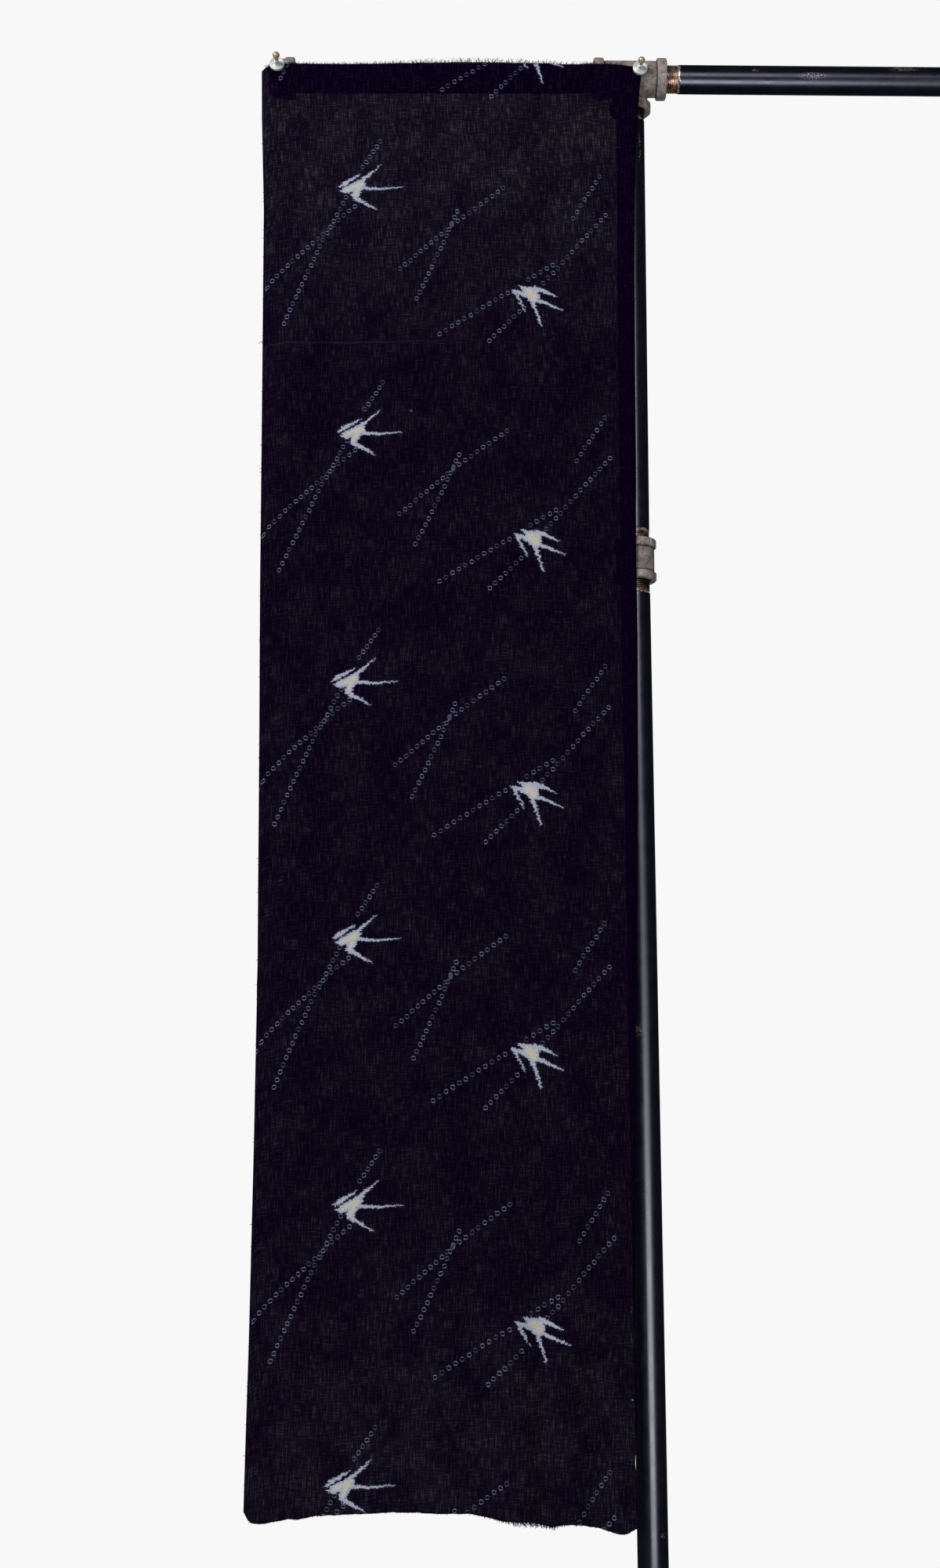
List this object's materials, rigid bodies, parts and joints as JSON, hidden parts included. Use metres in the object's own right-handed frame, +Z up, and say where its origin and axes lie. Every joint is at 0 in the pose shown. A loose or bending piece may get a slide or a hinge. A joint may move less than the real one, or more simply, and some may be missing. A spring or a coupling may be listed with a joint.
{
  "type": "indigo textile panel on an iron pipe stand",
  "caption": "Long narrow sheer indigo kasuri cloth with swallows and ring chains, hung by magnetic pins from a black iron pipe T-stand on a flat base plate.",
  "frame": {"origin": "centre of the base plate's underside, on the surface the stand rests on, under the foot of the post", "axes": "+X along the crossbar to the picture's right, +Y from the cloth back to the pipes, +Z up"},
  "size_m": [0.6867, 0.42, 2.035],
  "materials": {
    "indigo_cotton": "sheer plain-weave cotton, dyed near-black indigo, with cream kasuri motifs",
    "zinc": "pale satin zinc plate",
    "polished_knob": "polished, warm reflection",
    "black_pipe": "black lacquer, semi-gloss, bare brassy threads",
    "cast_fitting": "bare brownish-grey malleable iron, fine cast grain",
    "black_plate": "black lacquer, satin",
    "screw_steel": "blackened steel"
  },
  "bodies": {
    "root": {"cloth_panel": "indigo_cotton", "pin_left_disc": "zinc", "pin_left_knob": "polished_knob", "pin_right_disc": "zinc", "pin_right_knob": "polished_knob", "bar_left": "black_pipe", "bar_right": "black_pipe", "cap_left": "cast_fitting", "cap_right": "cast_fitting", "tee": "cast_fitting", "post_upper": "black_pipe", "coupling": "cast_fitting", "post_lower": "black_pipe", "floor_flange": "cast_fitting", "base_plate": "black_plate", "flange_screw_1": "screw_steel", "flange_screw_2": "screw_steel", "flange_screw_3": "screw_steel", "flange_screw_4": "screw_steel"}
  },
  "joints": []
}
